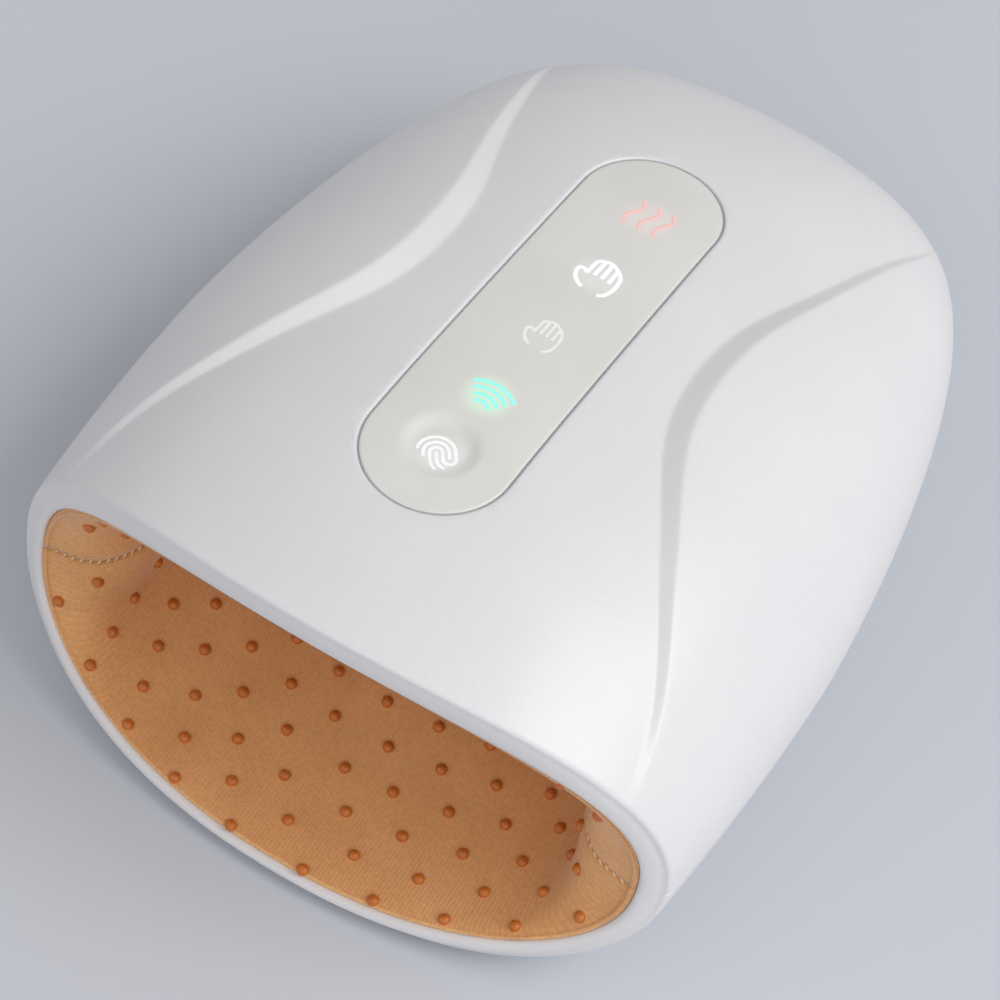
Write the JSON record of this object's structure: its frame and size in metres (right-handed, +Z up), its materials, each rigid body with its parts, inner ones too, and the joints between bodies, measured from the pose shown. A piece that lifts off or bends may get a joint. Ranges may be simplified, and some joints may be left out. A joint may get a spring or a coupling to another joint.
{
  "type": "hand massager",
  "caption": "Domed hand massager with a wide mouth, a ribbed fabric sleeve with raised nubs, and a touch panel on its crown.",
  "frame": {"origin": "on the surface it stands on, under the middle of the bounding box", "axes": "+Z up, +Y from the mouth for the hand to the closed nose, +X to the right seen from the mouth"},
  "size_m": [0.176, 0.224, 0.0929],
  "materials": {
    "pearl_shell": "glossy pearl-white moulded ABS",
    "panel_glaze": "translucent pale grey polycarbonate, polished",
    "knit_fabric": "tan stretch rib knit with raised nubs",
    "milky_plastic": "milky white plastic",
    "board_lacquer": "green solder lacquer on glass-fibre board",
    "dark_plastic": "dark grey moulded plastic",
    "black_rubber": "black rubber, matt",
    "airbag_film": "welded polyurethane film",
    "carbon_film": "carbon heating film between clear foils",
    "cell_wrap": "shrink-wrapped steel can",
    "steel": "zinc-plated steel",
    "copper": "copper-faced contact",
    "hose_silicone": "milky silicone hose",
    "grey_plastic": "light grey moulded plastic"
  },
  "bodies": {
    "housing": {"top_cover": "pearl_shell", "bottom_cover": "pearl_shell", "foot_1": "black_rubber", "foot_2": "black_rubber", "foot_3": "black_rubber", "foot_4": "black_rubber", "cover_screw_1": "steel", "cover_screw_2": "steel", "cover_screw_3": "steel", "cover_screw_4": "steel", "panel_screw_1": "steel", "panel_screw_2": "steel", "panel_screw_3": "steel", "panel_screw_4": "steel", "panel_lens": "panel_glaze", "light_guide": "milky_plastic", "panel_board": "board_lacquer", "touch_contact": "copper", "liner_upper": "knit_fabric", "liner_lower": "knit_fabric", "airbag_upper": "airbag_film", "airbag_lower": "airbag_film", "heating_film": "carbon_film", "frame_upper": "grey_plastic", "frame_lower": "grey_plastic", "rear_partition": "grey_plastic", "main_board": "board_lacquer", "battery_cell_1": "cell_wrap", "battery_cell_2": "cell_wrap", "battery_cradle": "grey_plastic", "pump_motor": "steel", "pump_cushion": "black_rubber", "pump_head": "dark_plastic", "pump_wobbler": "milky_plastic", "pump_diaphragm": "black_rubber", "pump_cap": "dark_plastic", "air_manifold": "dark_plastic", "valve_body_1": "dark_plastic", "valve_cap_1": "steel", "valve_spring_1": "steel", "valve_body_2": "dark_plastic", "valve_cap_2": "steel", "valve_spring_2": "steel", "hose_pump": "hose_silicone", "hose_upper": "hose_silicone", "hose_lower": "hose_silicone", "charging_socket": "steel", "charging_board": "board_lacquer"},
    "rotor": {"pump_rotor": "steel"},
    "plunger_1": {"valve_plunger_1": "steel"},
    "plunger_2": {"valve_plunger_2": "steel"}
  },
  "joints": [
    {"name": "pump_spin", "type": "hinge", "parent": "housing", "child": "rotor", "pos_m": [0, 0.09354, 0.0415], "axis": [1, 0, 0], "continuous": true},
    {"name": "valve_1_slide", "type": "slide", "parent": "housing", "child": "plunger_1", "axis": [0, 0, 1], "range_m": [0, 0.001], "stiffness_N_per_m": 60, "springref_m": -0.0005, "deforming": ["valve_spring_1"]},
    {"name": "valve_2_slide", "type": "slide", "parent": "housing", "child": "plunger_2", "axis": [0, 0, 1], "range_m": [0, 0.001], "stiffness_N_per_m": 60, "springref_m": -0.0005, "deforming": ["valve_spring_2"]}
  ]
}
